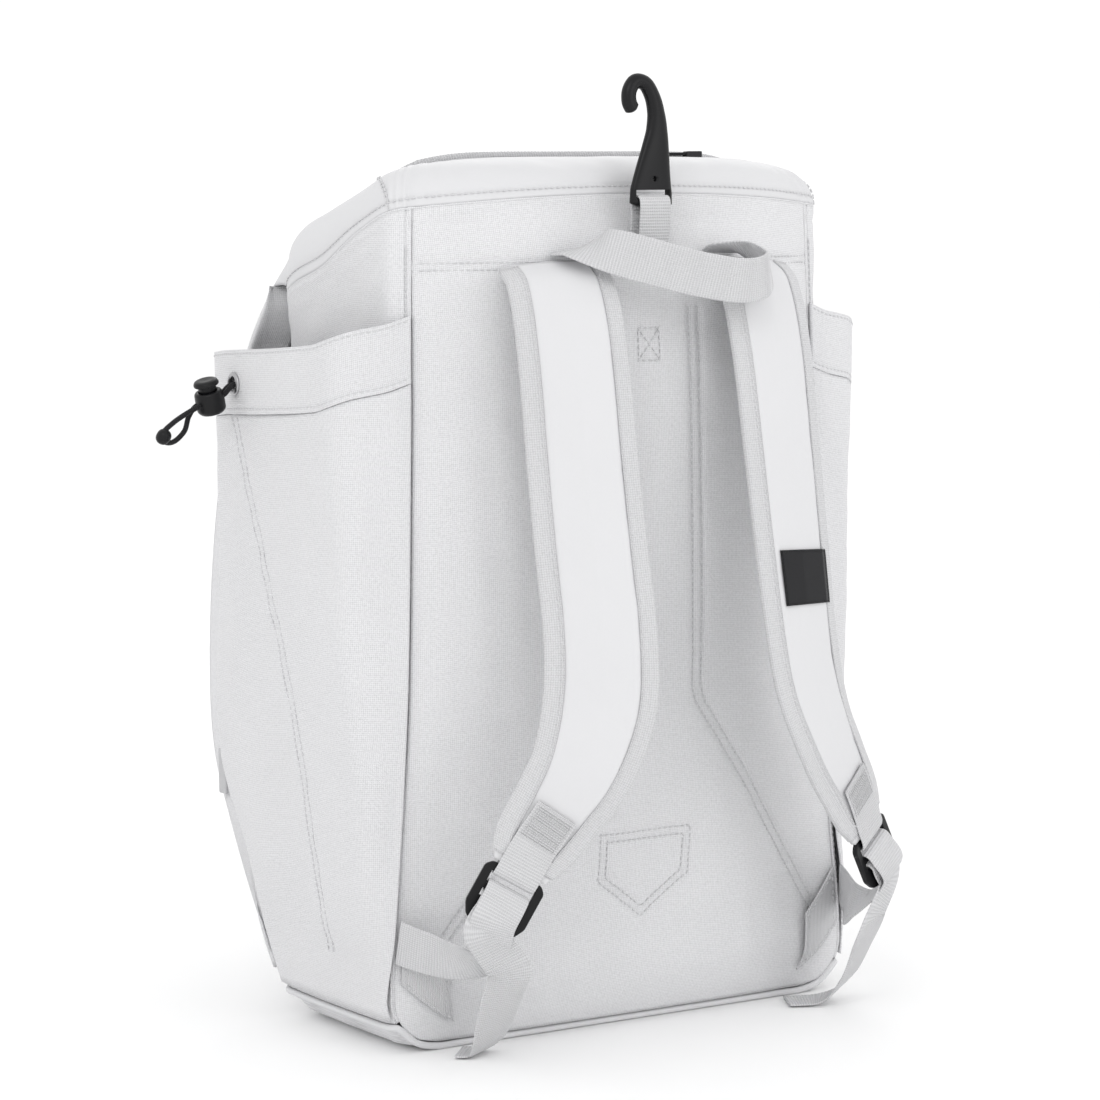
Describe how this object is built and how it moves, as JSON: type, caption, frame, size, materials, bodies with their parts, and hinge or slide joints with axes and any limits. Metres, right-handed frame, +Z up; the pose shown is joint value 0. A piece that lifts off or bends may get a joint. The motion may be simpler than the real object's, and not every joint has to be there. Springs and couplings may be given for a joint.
{
  "type": "baseball bat backpack",
  "caption": "Tall padded backpack with a rounded front compartment, open side pockets for bats closed by cord locks, shoulder straps, a grab handle and a fence hook.",
  "frame": {"origin": "centre of the box in plan at the floor, without the draw cords and what is on them", "axes": "+Z up, -Y the side with the shoulder straps, +X to the right seen from that side"},
  "size_m": [0.462, 0.3618, 0.5391],
  "materials": {
    "woven": "woven polyester, light grey",
    "smooth": "smooth coated fabric",
    "ribbed": "ribbed binding",
    "webbing": "ribbed webbing",
    "zipper": "zipper tape and coil",
    "slider": "black enamel",
    "pull": "black cord pull",
    "cord": "black elastic cord",
    "black_plastic": "moulded black plastic",
    "grommet": "steel eyelet",
    "label": "bare black label"
  },
  "bodies": {
    "bag": {"anchor_tab_left": "webbing", "anchor_tab_right": "webbing", "back_panel": "woven", "base_panel": "woven", "base_piping": "smooth", "bat_pocket_left": "woven", "bat_pocket_right": "woven", "cord_bead_left": "black_plastic", "cord_bead_right": "black_plastic", "draw_cord_left": "cord", "draw_cord_right": "cord", "fence_hook": "black_plastic", "front_panel": "woven", "front_pocket": "woven", "front_slider": "slider", "front_tab_left": "webbing", "front_tab_right": "webbing", "front_zipper": "zipper", "grab_handle": "webbing", "grommet_left": "grommet", "grommet_right": "grommet", "gusset_left": "woven", "gusset_right": "woven", "hook_webbing": "webbing", "ladder_lock_left": "black_plastic", "ladder_lock_right": "black_plastic", "lid_panel": "woven", "lid_piping": "ribbed", "lid_pull": "pull", "lid_slider": "slider", "lid_zipper": "zipper", "lock_barrel_left": "black_plastic", "lock_barrel_right": "black_plastic", "lower_webbing_left": "webbing", "lower_webbing_right": "webbing", "pocket_hem_left": "woven", "pocket_hem_right": "woven", "shoulder_strap_left": "smooth", "shoulder_strap_right": "smooth", "side_panel_left": "woven", "side_panel_right": "woven", "strap_end_webbing_left": "webbing", "strap_end_webbing_right": "webbing", "strap_label": "label", "top_band": "smooth"},
    "button_left": {"lock_button_left": "black_plastic"},
    "button_right": {"lock_button_right": "black_plastic"}
  },
  "joints": [
    {"name": "lock_button_left_press", "type": "slide", "parent": "bag", "child": "button_left", "axis": [0.284, 0.1515, -0.9468], "range_m": [0, 0.003], "stiffness_N_per_m": 120},
    {"name": "lock_button_right_press", "type": "slide", "parent": "bag", "child": "button_right", "axis": [-0.284, 0.1515, -0.9468], "range_m": [0, 0.003], "stiffness_N_per_m": 120}
  ]
}
